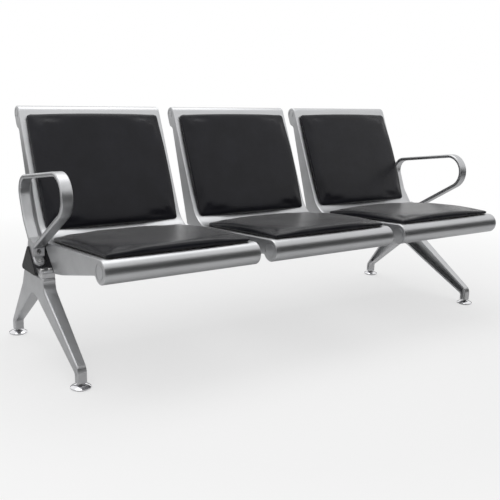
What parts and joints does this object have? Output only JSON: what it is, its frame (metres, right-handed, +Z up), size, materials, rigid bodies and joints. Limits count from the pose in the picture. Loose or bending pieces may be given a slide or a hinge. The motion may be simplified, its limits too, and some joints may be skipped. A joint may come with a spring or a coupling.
{
  "type": "beam seating",
  "caption": "Waiting-area beam seating: padded L-shaped sheet-metal seats on a triangular beam with loop armrests, cast Y legs and levelling feet.",
  "frame": {"origin": "on the floor plane under the middle of the bench's width and depth", "axes": "+X along the beam, the seats face -Y, +Z up"},
  "size_m": [1.76, 0.7194, 0.7801],
  "materials": {
    "silver_sheet": "silver, satin, lightly brushed",
    "cast_aluminium": "polished cast aluminium",
    "beam_paint": "dark grey powder coat",
    "cap_plastic": "black moulded plastic",
    "black_leather": "fine-grained black upholstery leather",
    "plywood": "raw plywood",
    "bolt_steel": "bright zinc-plated steel",
    "bracket_steel": "grey painted steel",
    "chrome": "mirror chrome",
    "sole_rubber": "black rubber",
    "stud_zinc": "zinc-plated threaded steel"
  },
  "bodies": {
    "frame": {"beam": "beam_paint", "beam_cap_left": "cap_plastic", "leg_left": "cast_aluminium", "leg_clamp_left": "cast_aluminium", "armrest_left": "cast_aluminium", "leg_bolts_left": "bolt_steel", "armrest_screws_left": "bolt_steel", "beam_cap_right": "cap_plastic", "leg_right": "cast_aluminium", "leg_clamp_right": "cast_aluminium", "armrest_right": "cast_aluminium", "leg_bolts_right": "bolt_steel", "armrest_screws_right": "bolt_steel", "seat_panel_1": "silver_sheet", "side_plate_left_1": "silver_sheet", "side_plate_right_1": "silver_sheet", "seat_cushion_1": "black_leather", "back_cushion_1": "black_leather", "seat_board_1": "plywood", "back_board_1": "plywood", "cushion_screws_1": "bolt_steel", "saddle_bracket_left_1": "bracket_steel", "saddle_bracket_right_1": "bracket_steel", "bracket_bolts_1": "bolt_steel", "seat_panel_2": "silver_sheet", "side_plate_left_2": "silver_sheet", "side_plate_right_2": "silver_sheet", "seat_cushion_2": "black_leather", "back_cushion_2": "black_leather", "seat_board_2": "plywood", "back_board_2": "plywood", "cushion_screws_2": "bolt_steel", "saddle_bracket_left_2": "bracket_steel", "saddle_bracket_right_2": "bracket_steel", "bracket_bolts_2": "bolt_steel", "seat_panel_3": "silver_sheet", "side_plate_left_3": "silver_sheet", "side_plate_right_3": "silver_sheet", "seat_cushion_3": "black_leather", "back_cushion_3": "black_leather", "seat_board_3": "plywood", "back_board_3": "plywood", "cushion_screws_3": "bolt_steel", "saddle_bracket_left_3": "bracket_steel", "saddle_bracket_right_3": "bracket_steel", "bracket_bolts_3": "bolt_steel"},
    "foot_pad_front_left": {"foot_cup_front_left": "chrome", "foot_sole_front_left": "sole_rubber"},
    "foot_screw_front_left": {"foot_stud_front_left": "stud_zinc"},
    "foot_pad_rear_left": {"foot_cup_rear_left": "chrome", "foot_sole_rear_left": "sole_rubber"},
    "foot_screw_rear_left": {"foot_stud_rear_left": "stud_zinc"},
    "foot_pad_front_right": {"foot_cup_front_right": "chrome", "foot_sole_front_right": "sole_rubber"},
    "foot_screw_front_right": {"foot_stud_front_right": "stud_zinc"},
    "foot_pad_rear_right": {"foot_cup_rear_right": "chrome", "foot_sole_rear_right": "sole_rubber"},
    "foot_screw_rear_right": {"foot_stud_rear_right": "stud_zinc"}
  },
  "joints": [
    {"name": "foot_height_front_left", "type": "slide", "parent": "frame", "child": "foot_pad_front_left", "axis": [0, 0, -1], "range_m": [0, 0.012]},
    {"name": "foot_turn_front_left", "type": "hinge", "parent": "foot_pad_front_left", "child": "foot_screw_front_left", "pos_m": [-0.85, -0.22829, 0.018], "axis": [0, 0, 1], "range_deg": [0, 2880]},
    {"name": "foot_height_rear_left", "type": "slide", "parent": "frame", "child": "foot_pad_rear_left", "axis": [0, 0, -1], "range_m": [0, 0.012]},
    {"name": "foot_turn_rear_left", "type": "hinge", "parent": "foot_pad_rear_left", "child": "foot_screw_rear_left", "pos_m": [-0.85, 0.32971, 0.018], "axis": [0, 0, 1], "range_deg": [0, 2880]},
    {"name": "foot_height_front_right", "type": "slide", "parent": "frame", "child": "foot_pad_front_right", "axis": [0, 0, -1], "range_m": [0, 0.012]},
    {"name": "foot_turn_front_right", "type": "hinge", "parent": "foot_pad_front_right", "child": "foot_screw_front_right", "pos_m": [0.85, -0.22829, 0.018], "axis": [0, 0, 1], "range_deg": [0, 2880]},
    {"name": "foot_height_rear_right", "type": "slide", "parent": "frame", "child": "foot_pad_rear_right", "axis": [0, 0, -1], "range_m": [0, 0.012]},
    {"name": "foot_turn_rear_right", "type": "hinge", "parent": "foot_pad_rear_right", "child": "foot_screw_rear_right", "pos_m": [0.85, 0.32971, 0.018], "axis": [0, 0, 1], "range_deg": [0, 2880]}
  ],
  "couplings": [
    {"joint": "foot_turn_front_left", "follows": "foot_height_front_left", "rad_per_m": 4188.8},
    {"joint": "foot_turn_rear_left", "follows": "foot_height_rear_left", "rad_per_m": 4188.8},
    {"joint": "foot_turn_front_right", "follows": "foot_height_front_right", "rad_per_m": 4188.8},
    {"joint": "foot_turn_rear_right", "follows": "foot_height_rear_right", "rad_per_m": 4188.8}
  ]
}
